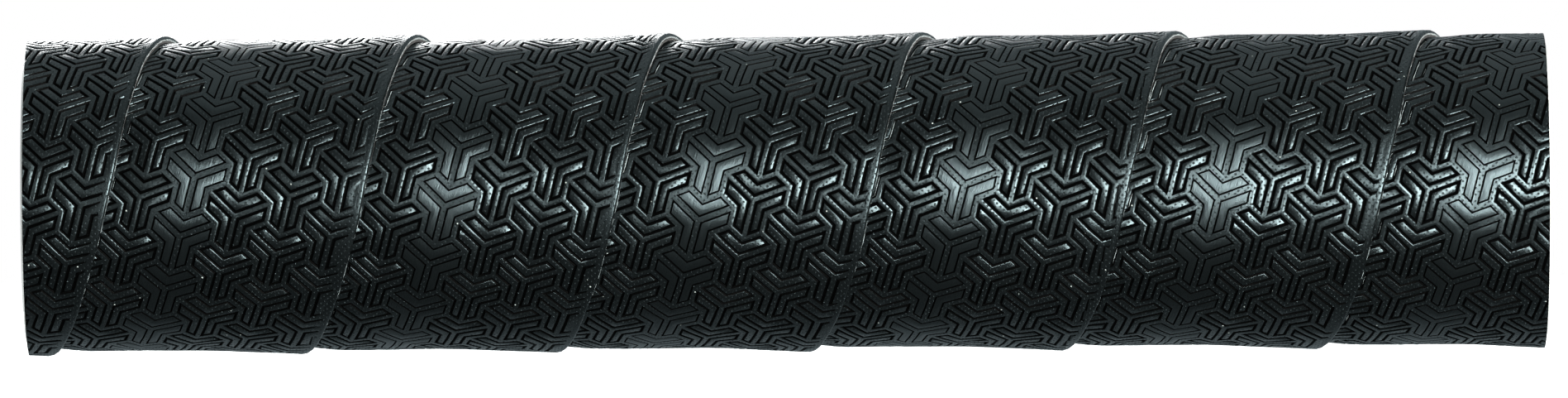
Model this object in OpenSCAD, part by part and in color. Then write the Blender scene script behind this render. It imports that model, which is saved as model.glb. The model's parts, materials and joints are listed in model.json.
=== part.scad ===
// Grip tape wound on a straight round core: one trimmed length of handle wrap.
// The core's axis runs along X through the origin, which is at mid-length, and +Z is up.
// The tape is laid from the right end to the left, so each turn's right edge lies on top.

/* [Core] */
// Outside diameter of the core tube
core_d = 26.7; // [20:0.1:40]
// Wall thickness of the core tube
core_wall = 2; // [1:0.1:4]
// How far the core stands out of the wrap at each end
core_proud = 0.2; // [0.1:0.1:5]

/* [Wrap] */
// Length of the wrap between its two square-cut ends
wrap_len = 137.2; // [60:0.1:200]
// Advance of the tape along the core in one turn
pitch = 22.9; // [20:0.1:25]
// Where an exposed edge crosses the front of the core, from mid-length
edge_x = 8.4; // [-11:0.1:11]

/* [Tape] */
// Width of the tape when it is flat
tape_w = 30; // [28:0.1:34]
// Thickness of the embossed polyurethane skin
skin_t = 0.3; // [0.2:0.05:0.6]
// Thickness of the non-woven felt that carries the skin
felt_t = 0.15; // [0.1:0.05:0.3]
// Thickness of the foam cushion under the felt
foam_t = 0.2; // [0.1:0.05:0.5]
// Thickness of the adhesive strip on the back of the foam
glue_t = 0.05; // [0.05:0.01:0.1]
// Width of the adhesive strip
glue_w = 12; // [8:0.5:12]

/* [Hidden] */

// Bounds of the wrap and the core
core_r = core_d / 2;
bore_r = core_r - core_wall;
end_x = wrap_len / 2;
core_len = wrap_len + 2 * core_proud;

// The helix: its angle, and the tape's width and overlap measured along the axis
helix = atan(pitch / (PI * core_d));
axial_w = tape_w / cos(helix);
overlap = axial_w - pitch;
glue_axial_w = glue_w / cos(helix);
left_x = edge_x - axial_w;

// The covered margin is pared thin, so that the next turn's edge doesn't stand too proud
laminate_t = skin_t + felt_t + foam_t;
pared_edge_t = 0.08 * laminate_t;
pared_step_t = 0.58 * laminate_t;
pared_out_w = 2.3;

// The exposed margin bridges up on to the neighbouring turn and lies just clear of it
bridge_w = 0.17 * overlap;
lay_gap = 0.07;
seat_r = core_r + glue_t;
full_r = seat_r + laminate_t;
raised_r = full_r + pared_step_t + lay_gap;
bridge_u = pitch - bridge_w;

// Each facet of the sweep spans this angle, and is drawn round its true radius
facet = 10;
round_out = 1 / cos(facet / 2);
// Width left at the pointed tips, where the end planes trim the tape away
tip_w = 0.4;

// Stations across the tape, from its covered left edge to its exposed right edge
tape_us = [0, overlap, overlap + pared_out_w, bridge_u, axial_w];
glue_us = [(bridge_u - glue_axial_w) / 2, (bridge_u + glue_axial_w) / 2];

// Laminate thickness at a distance u across the tape
function thickness(u) = lookup(u, [
    [0, pared_edge_t],
    [overlap, pared_step_t],
    [overlap + pared_out_w, laminate_t],
    [axial_w, laminate_t]
]);

// Outer radius of the laid tape at a distance u across it
function outer(u) = lookup(u, [
    [0, seat_r + pared_edge_t],
    [overlap, seat_r + pared_step_t],
    [overlap + pared_out_w, full_r],
    [bridge_u, full_r],
    [axial_w, raised_r]
]);

// Radius of the boundary that has this share of the laminate under it
function boundary(u, share) = outer(u) - (1 - share) * thickness(u);

// A point at a place along the axis, a radius and an angle from the front towards the top
function on_helix(x, r, a) = [x, -r * round_out * cos(a), r * round_out * sin(a)];

// Angles of the sweep's sections: one at each trimmed tip, and every facet line between them
function stations(u_first, u_last) =
    let (
        start = 360 * (tip_w - end_x - left_x - u_last) / pitch,
        end = 360 * (end_x - tip_w - left_x - u_first) / pitch
    )
    [
        start,
        for (k = [ceil(start / facet + 0.25) : floor(end / facet - 0.25)]) k * facet,
        end
    ];

// The same stations, drawn in between the end planes for a turn that starts at x
function trimmed(us, x) =
    let (
        first = us[0],
        last = us[len(us) - 1],
        from = max(first, -end_x - x),
        to = min(last, end_x - x)
    )
    [for (u = us) from + (u - first) * (to - from) / (last - first)];

// One section: its underside from left to right and its outside back again
function section(us, low, high, a) =
    let (
        x = left_x + pitch * a / 360,
        across = trimmed(us, x)
    )
    [
        for (u = across) on_helix(x + u, low(u), a),
        for (i = [len(us) - 1 : -1 : 0]) on_helix(x + across[i], high(across[i]), a)
    ];

// A helical strip between two surfaces, closed by its first and last sections
module strip(us, low, high) {
    angles = stations(us[0], us[len(us) - 1]);
    around = 2 * len(us);
    last_ring = around * (len(angles) - 1);
    points = [for (a = angles) each section(us, low, high, a)];
    sides = [
        for (ring = [0 : around : last_ring - around], i = [0 : around - 1])
            let (next = (i + 1) % around)
            each [
                [ring + i, ring + next, ring + around + next],
                [ring + i, ring + around + next, ring + around + i]
            ]
    ];
    caps = [
        for (i = [0 : len(us) - 2])
            let (quad = [i, i + 1, around - 2 - i, around - 1 - i])
            each [
                [for (k = [3 : -1 : 0]) quad[k]],
                [for (corner = quad) last_ring + corner]
            ]
    ];
    polyhedron(points, concat(sides, caps), convexity = 12);
}

// A layer of the laminate between two shares of its thickness
module layer(share_under, share_over) {
    strip(
        tape_us,
        function (u) boundary(u, share_under),
        function (u) boundary(u, share_over)
    );
}

module core_tube() {
    color("whitesmoke")
        rotate([0, 90, 0])
            difference() {
                cylinder(r = core_r, h = core_len, center = true, $fn = 96);
                cylinder(r = bore_r, h = core_len + 2, center = true, $fn = 96);
            }
}

module adhesive_strip() {
    color("khaki")
        strip(glue_us, function (u) core_r, function (u) seat_r);
}

module foam_cushion() {
    color("dimgray")
        layer(0, foam_t / laminate_t);
}

module felt_backing() {
    color("lightgray")
        layer(foam_t / laminate_t, (foam_t + felt_t) / laminate_t);
}

module embossed_skin() {
    color([0.1, 0.11, 0.11])
        layer((foam_t + felt_t) / laminate_t, 1);
}

core_tube();
adhesive_strip();
foam_cushion();
felt_backing();
embossed_skin();
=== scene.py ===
import json
from math import atan, cos, pi, radians, sin, tau

import bmesh
import bpy
import numpy as np
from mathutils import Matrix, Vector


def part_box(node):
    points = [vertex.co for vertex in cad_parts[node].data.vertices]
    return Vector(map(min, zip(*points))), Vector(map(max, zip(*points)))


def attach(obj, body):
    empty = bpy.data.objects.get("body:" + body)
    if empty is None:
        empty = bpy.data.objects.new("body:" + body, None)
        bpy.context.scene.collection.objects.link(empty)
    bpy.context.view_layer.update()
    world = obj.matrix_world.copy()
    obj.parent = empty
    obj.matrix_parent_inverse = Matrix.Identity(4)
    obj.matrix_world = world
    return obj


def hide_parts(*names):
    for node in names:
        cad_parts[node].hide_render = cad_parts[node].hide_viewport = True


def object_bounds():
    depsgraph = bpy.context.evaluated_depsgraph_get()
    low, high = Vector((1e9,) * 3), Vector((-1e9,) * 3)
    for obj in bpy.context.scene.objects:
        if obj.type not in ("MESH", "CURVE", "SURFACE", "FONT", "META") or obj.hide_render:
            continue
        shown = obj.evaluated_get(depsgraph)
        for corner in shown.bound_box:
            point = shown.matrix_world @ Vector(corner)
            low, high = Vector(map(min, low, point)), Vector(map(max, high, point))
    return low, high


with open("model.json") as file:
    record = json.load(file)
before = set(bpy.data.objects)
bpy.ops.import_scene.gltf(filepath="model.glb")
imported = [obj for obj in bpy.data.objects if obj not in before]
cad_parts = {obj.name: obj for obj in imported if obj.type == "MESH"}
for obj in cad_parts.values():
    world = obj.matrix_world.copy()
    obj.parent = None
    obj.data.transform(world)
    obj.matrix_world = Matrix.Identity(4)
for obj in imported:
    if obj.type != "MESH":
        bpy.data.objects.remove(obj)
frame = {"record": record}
cad_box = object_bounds()

# Lengths are in millimetres until a piece is laid on the core, and in metres from there on.
MM = 0.001


# ---------------------------------------------------------------- sizes from the frame

bore = next(m for m in frame["record"]["mounts"] if m["name"] == "core_bore")
BORE_R = bore["dims"]["r_mm"]
CORE_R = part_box("core_tube")[1].z / MM
CORE_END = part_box("core_tube")[1].x / MM
WRAP_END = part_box("embossed_skin")[1].x / MM

# The tape and how it is wound: each turn's right edge lies on the turn to its right
PITCH = 22.9
EDGE_X = 8.4
TAPE_AXIAL_W = 31.1
OVERLAP = TAPE_AXIAL_W - PITCH
LEFT_X = EDGE_X - TAPE_AXIAL_W
GLUE_T = 0.05
GLUE_AXIAL_W = 12.44
SKIN_T, FELT_T, FOAM_T = 0.3, 0.15, 0.2
LAMINATE_T = SKIN_T + FELT_T + FOAM_T
SEAT_R = CORE_R + GLUE_T
FULL_R = SEAT_R + LAMINATE_T

# The covered margin is pared thin, and the exposed margin bridges up on to the next turn
PARED_EDGE_T, PARED_STEP_T, PARED_OUT_W = 0.052, 0.377, 2.3
RAISED_R = FULL_R + PARED_STEP_T + 0.07
BRIDGE_U = PITCH - 1.39

# The helix at the tape's outer face
HELIX = atan(PITCH / (tau * FULL_R))
TAPE_W = TAPE_AXIAL_W * cos(HELIX)
TURN_LENGTH = tau * FULL_R / cos(HELIX)
STEP_ON_AXIS = (cos(HELIX), sin(HELIX))


# ---------------------------------------------------------------- the embossed pattern

# Three-armed tiles repeat along the tape and from column to column, and one column is smooth
TILE_ALONG = TURN_LENGTH / 16.375
COLUMN_W = 4.34
COLUMN_SHIFT = 0.538 * TILE_ALONG
COLUMNS = range(-3, 5)
TILES_EACH_WAY = 140
SMOOTH_COLUMN = OVERLAP * cos(HELIX) + 7.3
SMOOTH_TURN = 11 / 360

# Ribs and V grooves of the striped tiles, and the one fine line of the smooth ones
RIB_W = 0.42
GROOVE_W = 0.27
GROOVE_DEPTH = 0.17
RIM_W, RIM_DROP = 0.04, 0.024
LINE_W = 0.15
LINE_DEPTH = 0.14

# Where the pattern starts under the neighbour's edge, where the tape's exposed edge is on the
# average, and the plain margin beside it
FIELD_FROM = OVERLAP * cos(HELIX) - 1.4
EDGE_W = TAPE_W - 0.72
FIELD_TO = EDGE_W - 0.6
FADE_W = 0.45
LIP_R = 0.25

# Where the plain skin starts at the exposed edge, and where it ends under the neighbour's edge
PLAIN_FROM = FIELD_TO + 0.15
PLAIN_TO = FIELD_FROM - 0.4

# How unevenly the tape was pulled (degrees round the core) and slit, and how its edge leans
SLOW_PULL, QUICK_PULL, SLIP = -1.27, 1.13, 4.5
DRIFT_PER_TURN, DRIFT_START = 0.22, -0.3
LEAN, LEAN_TWICE = -0.45, 0.22
LEAN_W = 2.5

# How far raw rows of tape reach past the square cuts, and the gaps at which points are one
PAST_CUT = 6
ROWS_PAST_CUT = 8
WELD_GAP, CUT_GAP, SLIVER = 0.002, 0.0002, 0.001

# Columns of a point table: across, along, height, share of smooth panel, share of groove, and
# whether the point is on the outside of its layer
ACROSS, ALONG, HEIGHT, GLOSS, HOLLOW, OUTSIDE = range(6)


def smooth_run(u, stops):
    """A value that runs straight from stop to stop across the tape, with its knees rounded by
    averaging it over a width of 1.6 mm."""
    places, values = zip(*stops)
    return np.mean([np.interp(u + d, places, values) for d in (-0.8, -0.4, 0, 0.4, 0.8)], axis=0)


def outer(across):
    """Radius of the laid tape's outer face, by distance across the flat tape."""
    stops = [
        (0, SEAT_R + PARED_EDGE_T), (OVERLAP, SEAT_R + PARED_STEP_T),
        (OVERLAP + PARED_OUT_W, FULL_R), (BRIDGE_U, FULL_R), (TAPE_AXIAL_W, RAISED_R),
    ]
    return smooth_run(across / cos(HELIX), stops)


def thickness(across):
    """Thickness of the whole laminate, by distance across the flat tape."""
    stops = [
        (0, PARED_EDGE_T), (OVERLAP, PARED_STEP_T),
        (OVERLAP + PARED_OUT_W, LAMINATE_T), (TAPE_AXIAL_W, LAMINATE_T),
    ]
    return smooth_run(across / cos(HELIX), stops)


def turns_at(along):
    """How many turns of the tape have been laid at a place along it."""
    return along / TURN_LENGTH


def stretch(along):
    """The tape is pulled a little unevenly: two slow waves along it and a slip after the first
    turn, in degrees round the core."""
    half_turn_on = turns_at(along) + 2.5
    pulled = SLOW_PULL * np.sin(tau * half_turn_on / 6) + QUICK_PULL * np.sin(tau * half_turn_on / 2)
    pulled += SLIP / (1 + np.exp(14 * half_turn_on))
    return pulled / 360 * TURN_LENGTH


def askew(along):
    """The strip was slit a little askew to the pattern, which drifts across it at a steady rate."""
    return DRIFT_PER_TURN * turns_at(along) + DRIFT_START


def edge_wave(along):
    """How far the exposed edge wanders across the tape: a lean that comes back every turn, a
    smaller one that comes back every half turn, and two small quick waves."""
    t = turns_at(along)
    round_core = (along * cos(HELIX) - EDGE_W * sin(HELIX)) / FULL_R
    lean = LEAN * np.sin(round_core) + LEAN_TWICE * np.cos(2 * round_core)
    return lean + 0.05 * np.sin(5.1 * tau * t + 1) + 0.03 * np.sin(11.7 * tau * t)


def swell(across, along):
    """Small swells of the laid tape, from uneven tension: slow waves that cross each other."""
    t = turns_at(along)
    u = across / TAPE_W
    return (
        0.035 * np.sin(3.1 * tau * t + 2 * u)
        + 0.025 * np.sin(7.3 * tau * t - 5 * u + 1)
        + 0.015 * np.sin(13.7 * tau * t + 9 * u + 2)
    )


def lay(flat):
    """Lays flat tape on the core. Across and along turn by the helix angle into distance along the
    axis and angle round it, and the height adds to the outer face's radius at that place."""
    across, along, height = flat[:, ACROSS], flat[:, ALONG], flat[:, HEIGHT]
    x = LEFT_X + across * STEP_ON_AXIS[0] + along * STEP_ON_AXIS[1]
    angle = (along * cos(HELIX) - across * sin(HELIX)) / FULL_R
    r = outer(across) + height
    r += swell(across, along) * np.clip((r - CORE_R) / LAMINATE_T, 0, 1)
    return np.column_stack([x, -r * np.cos(angle), r * np.sin(angle)]) * MM


# ---------------------------------------------------------------- mesh tools

def make_mesh(name, points, tris, extras=()):
    """A mesh from arrays of points and triangles, with named point attributes."""
    mesh = bpy.data.meshes.new(name)
    mesh.vertices.add(len(points))
    mesh.vertices.foreach_set("co", np.asarray(points, np.float32).ravel())
    mesh.loops.add(3 * len(tris))
    mesh.loops.foreach_set("vertex_index", np.asarray(tris, np.int32).ravel())
    mesh.polygons.add(len(tris))
    mesh.polygons.foreach_set("loop_start", np.arange(0, 3 * len(tris), 3, dtype=np.int32))
    for label, kind, values in extras:
        layer = mesh.attributes.new(label, kind, "POINT")
        layer.data.foreach_set(
            "vector" if kind == "FLOAT_VECTOR" else "value", np.asarray(values, np.float32).ravel()
        )
    mesh.update(calc_edges=True)
    return mesh


def shown(name, mesh, *materials, crease=40):
    """An object at the origin that shows a mesh in its materials, smooth but for its creases."""
    made = bpy.data.objects.new(name, mesh)
    bpy.context.scene.collection.objects.link(made)
    for material in materials:
        mesh.materials.append(material)
    mesh.polygons.foreach_set("use_smooth", np.full(len(mesh.polygons), True))
    mesh.set_sharp_from_angle(angle=radians(crease))
    broad_faces_flat = made.modifiers.new("broad_faces_flat", "WEIGHTED_NORMAL")
    broad_faces_flat.keep_sharp = True
    return made


def sliced(points, tris, cuts):
    """Cuts flat tape along vertical planes and keeps what is behind each one. Each cut is a place
    and a direction in the plan. Returns points and triangles."""
    extras = [(str(column), "FLOAT", points[:, column]) for column in range(GLOSS, points.shape[1])]
    mesh = make_mesh("flat", points[:, :3], tris, extras)
    bm = bmesh.new()
    bm.from_mesh(mesh)
    for place, direction in cuts:
        bmesh.ops.bisect_plane(
            bm, geom=bm.verts[:] + bm.edges[:] + bm.faces[:], dist=CUT_GAP,
            plane_co=(*place, 0), plane_no=(*direction, 0), clear_outer=True,
        )
    bmesh.ops.dissolve_degenerate(bm, dist=SLIVER, edges=bm.edges[:])
    bmesh.ops.triangulate(bm, faces=bm.faces[:])
    bm.to_mesh(mesh)
    bm.free()
    count = len(mesh.vertices)
    kept = np.zeros((count, points.shape[1]), np.float32)
    flat = np.zeros(3 * count, np.float32)
    mesh.vertices.foreach_get("co", flat)
    kept[:, :3] = flat.reshape(-1, 3)
    for column in range(GLOSS, points.shape[1]):
        value = np.zeros(count, np.float32)
        mesh.attributes[str(column)].data.foreach_get("value", value)
        kept[:, column] = value
    corners = np.zeros(len(mesh.loops), np.int32)
    mesh.loops.foreach_get("vertex_index", corners)
    bpy.data.meshes.remove(mesh)
    return kept.astype(float), corners.reshape(-1, 3)


def open_rim(tris):
    """The points of all edges that have only one triangle."""
    edges = np.sort(np.concatenate([tris[:, [0, 1]], tris[:, [1, 2]], tris[:, [2, 0]]]), axis=1)
    edges, uses = np.unique(edges, axis=0, return_counts=True)
    return np.unique(edges[uses == 1])


def cut_square(points, tris):
    """Cuts both ends of a closed flat layer square and closes the cuts. The open rim of each cut,
    where an edge has one triangle, is split into its outer and its inner line, and the two are
    zipped together."""
    points, tris = sliced(points, tris, end_cuts())
    rim = open_rim(tris)
    on_axis = LEFT_X + points[rim, :2] @ STEP_ON_AXIS
    caps = []
    for side in (-1, 1):
        here = rim[side * on_axis > 0]
        is_outside = points[here, OUTSIDE] > 0.999
        cap = zipped(points, here[~is_outside], here[is_outside])
        caps.append(cap[:, ::-side])
    return points, np.vstack([tris, *caps])


def end_cuts():
    """The two square cuts of the wrap, as straight cuts through the flat tape."""
    along_axis = np.array(STEP_ON_AXIS)
    return [
        (along_axis * (side * WRAP_END - LEFT_X), side * along_axis) for side in (-1, 1)
    ]


def along_rows(spacing):
    """Places of cross rows along the flat tape, from before the left cut to past the right one."""
    first = (-WRAP_END - LEFT_X - TAPE_AXIAL_W) / sin(HELIX) - ROWS_PAST_CUT
    last = (WRAP_END - LEFT_X) / sin(HELIX) + ROWS_PAST_CUT
    return np.linspace(first, last, round((last - first) / spacing))


def swept(over, under, along, closed):
    """A chain of (across, height) points, over the outside and back along the underside, carried
    along the tape: one row of points at each place, and two triangles for each step of the chain
    between two rows."""
    rows, chain = len(along), len(over) + len(under)
    points = np.zeros((rows, chain, 6))
    points[:, :, [ACROSS, HEIGHT]] = np.vstack([over, under])
    points[:, :, ALONG] = along[:, None]
    points[:, :len(over), OUTSIDE] = 1
    row = np.arange(rows - 1)[:, None] * chain
    step = np.arange(chain if closed else chain - 1)
    a, b = row + step, row + (step + 1) % chain
    quads = np.stack([a, b, b + chain, a + chain], axis=-1).reshape(-1, 4)
    tris = np.concatenate([quads[:, [0, 1, 2]], quads[:, [0, 2, 3]]])
    return points.reshape(-1, 6), tris


def zipped(points, left, right):
    """Triangles between two lines of points that both run along the tape. The middles of all their
    steps are put in order, and each step is joined to the point that the other line has reached."""
    left = left[np.argsort(points[left, ALONG])]
    right = right[np.argsort(points[right, ALONG])]
    left_y, right_y = points[left, ALONG], points[right, ALONG]
    left_mid = (left_y[1:] + left_y[:-1]) / 2
    right_mid = (right_y[1:] + right_y[:-1]) / 2
    across_left = right[np.searchsorted(right_mid, left_mid)]
    across_right = left[np.searchsorted(left_mid, right_mid, side="right")]
    return np.concatenate([
        np.column_stack([left[1:], left[:-1], across_left]),
        np.column_stack([right[:-1], right[1:], across_right]),
    ])


# ---------------------------------------------------------------- the skin

def inset(corners, by):
    """An anticlockwise outline with every side moved inwards by the same distance, mitred."""
    side = np.roll(corners, -1, axis=0) - corners
    side /= np.linalg.norm(side, axis=1, keepdims=True)
    inward = np.column_stack([-side[:, 1], side[:, 0]])
    before = np.roll(inward, 1, axis=0)
    return corners + by * (inward + before) / (1 + (inward * before).sum(1))[:, None]


def tile(levels):
    """One three-armed tile. Its outline splits into three bent panels, each between two arms, with
    corners at the arms' tips, the shoulders, the notch and the centre, all at thirds of the
    lattice steps. Rings are inset from each panel's outline, one for each (inset, height, gloss,
    hollow) level, and the last ring is closed by the panel's face."""
    down = np.array([0, -TILE_ALONG])
    right_up = np.array([COLUMN_W, COLUMN_SHIFT])
    left_up = -down - right_up
    step = np.arange(8)
    ahead = (step + 1) % 8
    face = np.array([[0, 1, 7], [1, 2, 7], [2, 6, 7], [2, 5, 6], [2, 3, 5], [3, 4, 5]])
    points, tris = [], []
    for arm, following in ((down, right_up), (right_up, left_up), (left_up, down)):
        third = -arm - following
        outline = np.array([
            2 * arm, arm - third, -third, following - third, 2 * following, 0 * arm
        ]) / 3
        for number, (by, height, gloss, hollow) in enumerate(levels):
            ring = inset(outline, by)
            middles = (ring[[4, 5]] + ring[[5, 0]]) / 2
            ring = np.vstack([ring[:5], middles[:1], ring[5:], middles[1:]])
            base = 8 * len(points)
            points.append(np.column_stack([ring, np.tile([height, gloss, hollow, 1], (8, 1))]))
            if number:
                tris.append(np.column_stack([base - 8 + step, base - 8 + ahead, base + ahead]))
                tris.append(np.column_stack([base - 8 + step, base + ahead, base + step]))
        tris.append(face + 8 * (len(points) - 1))
    return np.vstack(points), np.vstack(tris)


def striped_tile():
    """Ribs, a V groove inside them and a narrow panel inside that. The rims are rolled over."""
    rib, panel = RIB_W / 2, RIB_W / 2 + GROOVE_W
    return tile([
        (0, 0, 0, 0),
        (rib - RIM_W, 0, 0, 0),
        (rib, -RIM_DROP, 0, 0),
        ((rib + panel) / 2, -GROOVE_DEPTH, 0, 1),
        (panel, -RIM_DROP, 0, 0),
        (panel + RIM_W, 0, 0, 0),
    ])


def smooth_tile():
    """Ribs set off by one fine sunk line, and a broad, slightly domed, glossy panel."""
    rib = RIB_W / 2 + 0.02
    return tile([
        (0, 0, 0, 0),
        (rib, 0, 0, 0),
        (rib + LINE_W / 2, -LINE_DEPTH, 0, 1),
        (rib + LINE_W + 0.015, -0.01, 1, 0),
        (rib + LINE_W + 0.22, 0.015, 1, 0),
    ])


def pattern_field():
    """The embossed face: tiles repeated over the lattice, joined where they meet, pulled along by
    the uneven stretch, faded to a plain face near the exposed edge and cut to a straight strip."""
    row, column = np.meshgrid(np.arange(-TILES_EACH_WAY, TILES_EACH_WAY), COLUMNS)
    across = SMOOTH_COLUMN + column * COLUMN_W
    first = SMOOTH_TURN * TURN_LENGTH + SMOOTH_COLUMN * sin(HELIX) / cos(HELIX)
    along = first + row * TILE_ALONG + column * COLUMN_SHIFT
    x = LEFT_X + across * STEP_ON_AXIS[0] + along * STEP_ON_AXIS[1]
    kept = abs(x) < WRAP_END + PAST_CUT
    points, tris = [], []
    used = 0
    for template, chosen in ((striped_tile(), column != 0), (smooth_tile(), column == 0)):
        places = np.column_stack([across[kept & chosen], along[kept & chosen]])
        shape, faces = template
        copies = np.tile(shape, (len(places), 1, 1))
        copies[:, :, :2] += places[:, None]
        numbers = used + len(shape) * np.arange(len(places))
        points.append(copies.reshape(-1, 6))
        tris.append((faces + numbers[:, None, None]).reshape(-1, 3))
        used += len(shape) * len(places)
    points, tris = np.vstack(points), np.vstack(tris)
    spots = np.round(points[:, :2] / WELD_GAP + 0.137).astype(np.int64)
    _, firsts, joined = np.unique(spots, axis=0, return_index=True, return_inverse=True)
    points, tris = points[firsts], joined.reshape(-1)[tris]
    points[:, ACROSS] += askew(points[:, ALONG])
    points[:, ALONG] += stretch(points[:, ALONG])
    fade = np.clip((FIELD_TO - points[:, ACROSS]) / FADE_W, 0, 1)
    points[:, HEIGHT:OUTSIDE] *= (fade * fade * (3 - 2 * fade))[:, None]
    cuts = [((FIELD_FROM, 0), (-1, 0)), ((FIELD_TO, 0), (1, 0))]
    return sliced(points, tris, cuts)


def skin_shell():
    """The rest of the skin, from the pattern's end at the exposed edge: the plain margin, the
    rounded lip, the cut edge, the underside and the covered margin back to the pattern. The chain
    is open between its last point and its first."""
    share = SKIN_T / LAMINATE_T
    round_lip = np.linspace(0, pi / 2, 6)
    lip = np.column_stack([
        EDGE_W - LIP_R * (1 - np.sin(round_lip)), -LIP_R * (1 - np.cos(round_lip))
    ])
    margin = np.array([[PLAIN_FROM, 0]])
    below = np.array([EDGE_W - 0.02, EDGE_W - 1, 24, 18, 12, 10.2, 8, 5, 2, 0.02])
    under = np.column_stack([below, -share * thickness(below)])
    covered = np.array([[across, 0] for across in (0, 2, 4, 6, PLAIN_TO)])
    over, back = np.vstack([margin, lip]), np.vstack([under, covered])
    points, tris = swept(over, back, along_rows(1.6), closed=False)
    table = points.reshape(-1, len(over) + len(back), 6)
    table[:, -len(covered):, OUTSIDE] = 1
    return table.reshape(-1, 6), tris


def skin_mesh():
    """The whole skin, flat and closed: the pattern zipped to the shell along both its sides. The
    exposed edge is given its wander, both ends are cut square, and then the tape is laid. The
    grooves are the triangles whose corners lie mostly in them."""
    field, field_tris = pattern_field()
    shell, shell_tris = skin_shell()
    points = np.vstack([field, shell])
    tris = np.vstack([field_tris, shell_tris + len(field)])
    rim = open_rim(tris)
    across = points[:, ACROSS]

    def line(place, in_field):
        """The rim's outer points at one place across, of the pattern or of the shell."""
        near = (abs(across[rim] - place) < 0.01) & (points[rim, OUTSIDE] > 0.5)
        return rim[near & ((rim < len(field)) == in_field)]

    tris = np.vstack([
        tris,
        zipped(points, line(FIELD_TO, True), line(PLAIN_FROM, False)),
        zipped(points, line(PLAIN_TO, False), line(FIELD_FROM, True)),
    ])
    near_edge = np.clip((across - FIELD_TO + LEAN_W) / LEAN_W, 0, 1)
    points[:, ACROSS] += edge_wave(points[:, ALONG]) * near_edge**2
    points, tris = cut_square(points, tris)
    mesh = make_mesh("skin_wrap", lay(points), tris, [
        ("tape_place", "FLOAT_VECTOR", points[:, :3]),
        ("gloss", "FLOAT", points[:, GLOSS]),
    ])
    # Groove triangles take the second material, whose darker, nearly glossless black is painted
    # shade.
    in_groove = points[tris, HOLLOW].mean(axis=1) > 0.25
    mesh.polygons.foreach_set("material_index", in_groove.astype(np.int32))
    return mesh


# ---------------------------------------------------------------- the layers under the skin

def layer_mesh(name, under_share, over_share, spacing, ragged=0.0):
    """A closed layer of the laminate between two shares of its thickness, carried along the tape,
    cut square at both ends and laid. Its exposed edge may be ragged, by a random amount at each
    row of points."""
    tops = np.array([0, 4, 8, 10.2, 14, 19, 24, EDGE_W - 1.5, EDGE_W])
    below = tops[::-1].copy()
    below[[0, -1]] = EDGE_W - 0.02, 0.02
    over = np.column_stack([tops, -(1 - over_share) * thickness(tops)])
    under = np.column_stack([below, -(1 - under_share) * thickness(below)])
    along = along_rows(spacing)
    points, tris = swept(over, under, along, closed=True)
    table = points.reshape(len(along), -1, 6)
    fray = ragged * np.random.default_rng(11).uniform(-1, 1, len(along))
    exposed = [len(tops) - 1, len(tops)]
    table[:, exposed, ACROSS] += (edge_wave(along) + fray)[:, None]
    points, tris = cut_square(table.reshape(-1, 6), tris)
    return make_mesh(name, lay(points), tris, [("tape_place", "FLOAT_VECTOR", points[:, :3])])


def glue_mesh():
    """The adhesive film: a thin flat ribbon on the core, under the middle of the tape."""
    half = GLUE_AXIAL_W * cos(HELIX) / 2
    across = BRIDGE_U / 2 * cos(HELIX) + np.array([-half, -half / 2, 0, half / 2, half])
    below = across[::-1] + np.array([-0.02, 0, 0, 0, 0.02])
    over = np.column_stack([across, SEAT_R - outer(across)])
    under = np.column_stack([below, CORE_R - outer(below)])
    points, tris = cut_square(*swept(over, under, along_rows(1.5), closed=True))
    return make_mesh("glue_film", lay(points), tris, [("tape_place", "FLOAT_VECTOR", points[:, :3])])


def tube_mesh():
    """The core tube: a closed profile with small bevels at its rims, turned round the X axis."""
    bevel = 0.15
    half = [
        (CORE_END - bevel, CORE_R), (CORE_END, CORE_R - bevel),
        (CORE_END, BORE_R + bevel), (CORE_END - bevel, BORE_R),
    ]
    profile = np.array(half + [(-x, r) for x, r in half[::-1]])
    segments = 180
    angle = np.arange(segments) / segments * tau
    x = np.tile(profile[:, 0], (segments, 1))
    y = -np.cos(angle)[:, None] * profile[:, 1]
    z = np.sin(angle)[:, None] * profile[:, 1]
    chain = len(profile)
    row = np.arange(segments)[:, None] * chain
    ahead = (np.arange(segments)[:, None] + 1) % segments * chain
    a, b = np.arange(chain), (np.arange(chain) + 1) % chain
    quads = np.stack([row + a, row + b, ahead + b, ahead + a], axis=-1).reshape(-1, 4)
    tris = np.concatenate([quads[:, [0, 1, 2]], quads[:, [0, 2, 3]]])
    return make_mesh("tube_core", np.stack([x, y, z], axis=-1).reshape(-1, 3) * MM, tris)


# ---------------------------------------------------------------- finishes

def new_finish(name, colour, roughness, **constants):
    """A material with one Principled shader, its constants set straight on the sockets."""
    material = bpy.data.materials.new(name)
    material.use_nodes = True
    shader = material.node_tree.nodes["Principled BSDF"]
    shader.inputs["Base Color"].default_value = (*colour, 1)
    shader.inputs["Roughness"].default_value = roughness
    for label, value in constants.items():
        shader.inputs[label.replace("_", " ")].default_value = value
    return material, material.node_tree, shader


def add(tree, kind, *inputs, **settings):
    """Adds a node. Each input is linked if it is a socket, set if it is a value, skipped if None."""
    node = tree.nodes.new(kind)
    for label, value in settings.items():
        setattr(node, label, value)
    for socket, value in zip(node.inputs, inputs):
        if isinstance(value, bpy.types.NodeSocket):
            tree.links.new(value, socket)
        elif value is not None:
            socket.default_value = value
    return node.outputs[0]


def sums(tree, operation, a, b=None, c=None):
    """One arithmetic operation on two or three values."""
    return add(tree, "ShaderNodeMath", a, b, c, operation=operation)


def ramp(tree, value, low, high, to_low=0.0, to_high=1.0):
    """Maps a value smoothly from one range to another."""
    return add(tree, "ShaderNodeMapRange", value, low, high, to_low, to_high,
               interpolation_type="SMOOTHSTEP")


def attribute(tree, name, output="Fac"):
    """Reads one of the mesh's own point attributes."""
    node = tree.nodes.new("ShaderNodeAttribute")
    node.attribute_name = name
    return node.outputs[output]


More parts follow.
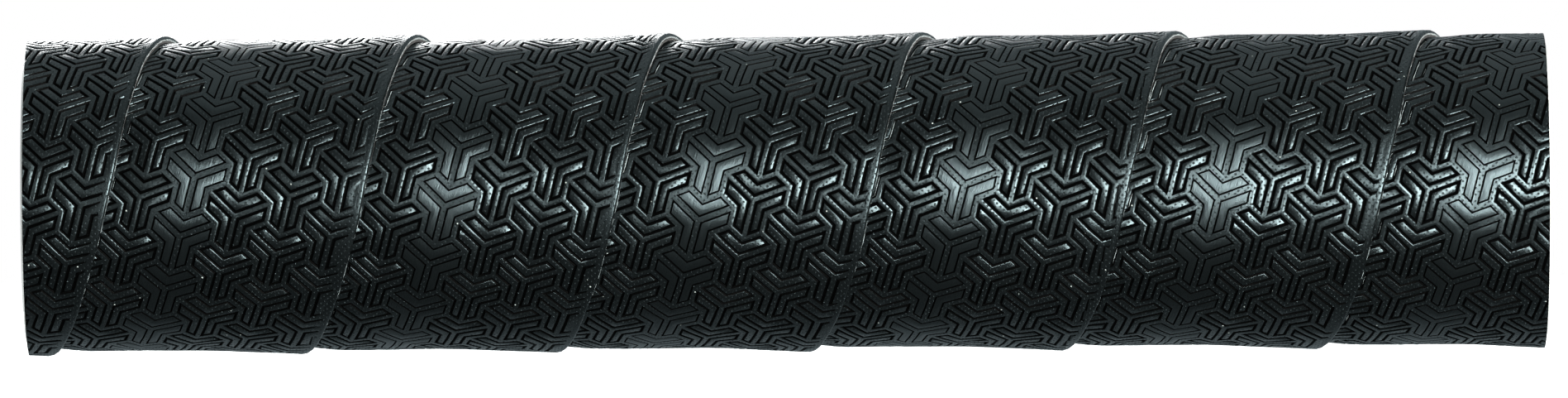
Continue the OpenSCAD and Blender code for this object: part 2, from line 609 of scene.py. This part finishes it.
def stretched(tree, vector, scale, turn=(0, 0, 0)):
    """Scales a vector and turns it."""
    return add(tree, "ShaderNodeMapping", vector, (0, 0, 0), turn, scale)


def grain(tree, vector, size, detail=2.0, roughness=0.5):
    """Noise with this many features to the unit of the vector."""
    node = tree.nodes.new("ShaderNodeTexNoise")
    tree.links.new(vector, node.inputs["Vector"])
    node.inputs["Scale"].default_value = size
    node.inputs["Detail"].default_value = detail
    node.inputs["Roughness"].default_value = roughness
    return node.outputs["Fac"]


def cells(tree, vector, size, randomness=1.0, dimensions="3D"):
    """Distance to the nearest of many scattered points, this many of them to the vector's unit."""
    node = tree.nodes.new("ShaderNodeTexVoronoi")
    node.voronoi_dimensions = dimensions
    tree.links.new(vector, node.inputs["Vector"])
    node.inputs["Scale"].default_value = size
    node.inputs["Randomness"].default_value = randomness
    return node.outputs["Distance"]


def shades(tree, value, dark, pale):
    """Runs from a dark colour to a pale one. Each is a value and the colour that it starts at."""
    output = add(tree, "ShaderNodeValToRGB", value)
    for stop, (place, colour) in zip(output.node.color_ramp.elements, (dark, pale)):
        stop.position = place
        stop.color = (*colour, 1)
    return output


def mixed(tree, share, a, b):
    """Mixes two colours by a share from 0 to 1."""
    node = tree.nodes.new("ShaderNodeMix")
    node.data_type = "RGBA"
    for socket, value in zip((node.inputs[0], node.inputs[6], node.inputs[7]), (share, a, b)):
        if isinstance(value, bpy.types.NodeSocket):
            tree.links.new(value, socket)
        else:
            socket.default_value = value
    return node.outputs[2]


def bump(tree, shader, height, distance):
    """Tilts the shader's normal by a height map whose unit is this distance."""
    node = tree.nodes.new("ShaderNodeBump")
    node.inputs["Distance"].default_value = distance
    tree.links.new(height, node.inputs["Height"])
    tree.links.new(node.outputs["Normal"], shader.inputs["Normal"])


def skin_finish():
    """Black embossed polyurethane: pinholes on ribs and narrow panels, fine lengthwise wrinkles on
    the smooth panels, a fine grain and a little dust. The pinholes' darker black is painted shade
    inside the holes."""
    material, tree, shader = new_finish("black_polyurethane", (0.0018, 0.0022, 0.0023), 0.3,
                                        Specular_Tint=(0.7, 0.93, 1, 1))
    place = attribute(tree, "tape_place", "Vector")
    gloss = attribute(tree, "gloss")
    link = tree.links.new

    turned = stretched(tree, place, (1, 1, 1), (0, 0, radians(33)))
    holes = cells(tree, turned, 2.4, randomness=0.12, dimensions="2D")
    pinholes_with_painted_shade = ramp(tree, holes, 0.14, 0.26, 1, 0)
    pinholes_with_painted_shade = sums(tree, "MULTIPLY", pinholes_with_painted_shade, sums(tree, "SUBTRACT", 1, gloss))

    fine = grain(tree, place, 13, 3)
    wrinkles = grain(tree, stretched(tree, place, (8, 0.9, 8)), 1, 3, 0.6)
    wrinkled = sums(tree, "MULTIPLY", wrinkles, gloss)
    worn = grain(tree, place, 0.14, 3)
    specks = ramp(tree, cells(tree, place, 0.55), 0.02, 0.05, 1, 0)

    height = sums(tree, "MULTIPLY", fine, 0.014)
    height = sums(tree, "MULTIPLY_ADD", wrinkled, 0.04, height)
    height = sums(tree, "MULTIPLY_ADD", pinholes_with_painted_shade, -0.06, height)
    bump(tree, shader, height, MM)

    rough = sums(tree, "MULTIPLY_ADD", gloss, 0.02, 0.25)
    rough = sums(tree, "MULTIPLY_ADD", worn, 0.12, rough)
    rough = sums(tree, "MULTIPLY_ADD", pinholes_with_painted_shade, 0.3, rough)
    link(rough, shader.inputs["Roughness"])

    black = mixed(tree, worn, (0.0014, 0.0018, 0.0019, 1), (0.0024, 0.0029, 0.0029, 1))
    # The darker black in the pinholes is painted shade inside the holes.
    black = mixed(tree, pinholes_with_painted_shade, black, (0.0004, 0.0005, 0.0005, 1))
    dusty = mixed(tree, specks, black, (0.34, 0.38, 0.36, 1))
    link(dusty, shader.inputs["Base Color"])
    return material


def groove_painted_shade_finish():
    """The grooves in a darker black with almost no gloss: painted shade that stands in for the shade
    down in the grooves. A rough grain.
    """
    material, tree, shader = new_finish("groove_black", (0.0004, 0.0005, 0.0005), 0.6,
                                        Specular_IOR_Level=0.03)
    place = attribute(tree, "tape_place", "Vector")
    fine = grain(tree, place, 9, 3)
    bump(tree, shader, sums(tree, "MULTIPLY", fine, 0.012), MM)
    tree.links.new(ramp(tree, fine, 0.3, 0.7, 0.5, 0.7), shader.inputs["Roughness"])
    return material


def felt_finish():
    """Pale non-woven felt: fibres as crossed stretched noise."""
    material, tree, shader = new_finish("pale_felt", (0.4, 0.46, 0.47), 0.9, Sheen_Weight=0.2)
    place = attribute(tree, "tape_place", "Vector")
    one = grain(tree, stretched(tree, place, (14, 2, 14), (0, 0, 0.6)), 1, 3)
    other = grain(tree, stretched(tree, place, (2, 14, 14), (0, 0, 0.5)), 1, 3)
    fibres = sums(tree, "MAXIMUM", one, other)
    bump(tree, shader, sums(tree, "MULTIPLY", fibres, 0.05), MM)
    shade = shades(tree, fibres, (0.45, (0.05, 0.065, 0.068)), (0.66, (0.38, 0.45, 0.46)))
    tree.links.new(shade, shader.inputs["Base Color"])
    return material


def foam_finish():
    """Dark closed-cell foam: small cells of random size."""
    material, tree, shader = new_finish("dark_foam", (0.05, 0.053, 0.053), 0.85)
    place = attribute(tree, "tape_place", "Vector")
    pores = cells(tree, place, 11)
    bump(tree, shader, sums(tree, "MULTIPLY", pores, 0.05), MM)
    shade = ramp(tree, pores, 0.1, 0.7, 0.02, 0.085)
    tree.links.new(shade, shader.inputs["Base Color"])
    return material


def glue_finish():
    """Amber acrylic film, a little cloudy."""
    material, tree, shader = new_finish("amber_adhesive", (0.6, 0.47, 0.24), 0.35)
    place = attribute(tree, "tape_place", "Vector")
    cloud = grain(tree, place, 0.8, 3)
    bump(tree, shader, sums(tree, "MULTIPLY", cloud, 0.02), MM)
    tree.links.new(ramp(tree, cloud, 0.3, 0.7, 0.3, 0.5), shader.inputs["Roughness"])
    return material


def tube_finish():
    """Pale extruded plastic: faint draw lines along the tube and a slight mottle."""
    material, tree, shader = new_finish("pale_plastic", (0.56, 0.58, 0.57), 0.45)
    place = tree.nodes.new("ShaderNodeTexCoord").outputs["Object"]
    lines = grain(tree, stretched(tree, place, (40, 2600, 2600)), 1, 2)
    mottle = grain(tree, place, 160, 3)
    height = sums(tree, "MULTIPLY", mottle, 0.02)
    height = sums(tree, "MULTIPLY_ADD", lines, 0.012, height)
    bump(tree, shader, height, MM)
    tree.links.new(ramp(tree, mottle, 0.3, 0.7, 0.38, 0.52), shader.inputs["Roughness"])
    shade = shades(tree, mottle, (0.3, (0.5, 0.52, 0.51)), (0.7, (0.62, 0.64, 0.63)))
    tree.links.new(shade, shader.inputs["Base Color"])
    return material


# ---------------------------------------------------------------- the pieces

# The skin's second material paints shade into its grooves.
skin = shown("skin_wrap", skin_mesh(), skin_finish(), groove_painted_shade_finish(), crease=33)
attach(skin, "root")
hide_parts("embossed_skin")

felt_from, felt_to = FOAM_T / LAMINATE_T, (FOAM_T + FELT_T) / LAMINATE_T
felt = shown(
    "felt_layer",
    layer_mesh("felt_layer", felt_from, felt_to, spacing=0.5, ragged=0.045),
    felt_finish(),
)
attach(felt, "root")
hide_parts("felt_backing")

foam = shown("foam_layer", layer_mesh("foam_layer", 0, felt_from, spacing=1.5), foam_finish())
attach(foam, "root")
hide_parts("foam_cushion")

glue = shown("glue_film", glue_mesh(), glue_finish())
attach(glue, "root")
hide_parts("adhesive_strip")

tube = shown("tube_core", tube_mesh(), tube_finish(), crease=30)
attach(tube, "root")
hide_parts("core_tube")


# ---------------------------------------------------------------- floor, light and camera

def area_light(name, place, aim, width, height, power, colour=(1, 1, 1)):
    """A soft rectangular light that faces a point."""
    light = bpy.data.lights.new(name, "AREA")
    light.shape = "RECTANGLE"
    light.size, light.size_y = width, height
    light.energy = power
    light.color = colour
    lamp = bpy.data.objects.new(name, light)
    lamp.visible_camera = False
    lamp.location = place
    away = lamp.location.copy()
    away.x, away.y, away.z = (p - a for p, a in zip(place, aim))
    lamp.rotation_euler = away.to_track_quat("Z", "Y").to_euler()
    bpy.context.scene.collection.objects.link(lamp)
    return lamp


FLOOR_Z = cad_box[0].z - 0.00005
FLOOR_SIDE = 1.5
corners = np.array([(-1, -1), (1, -1), (1, 1), (-1, 1)]) * FLOOR_SIDE
corners = np.column_stack([corners, np.full(4, FLOOR_Z)])
floor_material, _, floor_shader = new_finish("pale_floor", (0.86, 0.87, 0.87), 0.9)
floor_shader.inputs["Emission Color"].default_value = (1, 1, 1, 1)
floor_shader.inputs["Emission Strength"].default_value = 0.9
floor_mesh = make_mesh("studio_floor", corners, np.array([[0, 1, 2], [0, 2, 3]]))
floor = shown("studio_floor", floor_mesh, floor_material)
floor.visible_glossy = False

area_light("front_soft_light", (0.22, -0.55, 0.03), (0.02, 0, 0), 0.2, 0.26, 13.4, (1, 0.98, 0.94))
area_light("back_soft_light", (-0.25, 0.6, 0.2), (0, 0, 0), 0.5, 0.3, 5)
area_light("top_soft_light", (0, 0.1, 1.6), (0, 0.1, 0), 2.2, 1.6, 7, (0.95, 1, 0.99))


def dim_studio(front, back):
    """A backdrop that the camera sees as white, and that lights the object only dimly: its strength
    rises smoothly from the front to the back."""
    world = bpy.data.worlds.new("studio")
    world.use_nodes = True
    tree = world.node_tree
    seen = tree.nodes.new("ShaderNodeLightPath").outputs["Is Camera Ray"]
    toward = tree.nodes.new("ShaderNodeTexCoord").outputs["Generated"]
    depth = tree.nodes.new("ShaderNodeSeparateXYZ")
    tree.links.new(toward, depth.inputs[0])
    dim = ramp(tree, depth.outputs["Y"], 0, 1, front, back)
    backdrop = tree.nodes["Background"]
    tree.links.new(sums(tree, "MAXIMUM", dim, seen), backdrop.inputs["Strength"])
    colour = mixed(tree, seen, (0.8, 0.97, 1.03, 1), (1, 1, 1, 1))
    tree.links.new(colour, backdrop.inputs["Color"])
    return world


bpy.context.scene.world = dim_studio(front=0.05, back=0.45)
bpy.context.scene.view_settings.view_transform = "Standard"

# The longest lens that still holds the object in its other views, level with the core, so that
# the square ends look nearly straight
VIEW_W = 0.142
LENS = 410
AIM_X, AIM_Z, ROLL = -0.00019, -0.0006, 0.28
view = bpy.data.cameras.new("view")
view.lens = LENS
view.clip_end = 40
camera = bpy.data.objects.new("view", view)
camera.location = (AIM_X, -LENS * VIEW_W / view.sensor_width, AIM_Z)
camera.rotation_euler = (radians(90), radians(ROLL), 0)
bpy.context.scene.collection.objects.link(camera)
bpy.context.scene.camera = camera

bpy.context.view_layer.update()
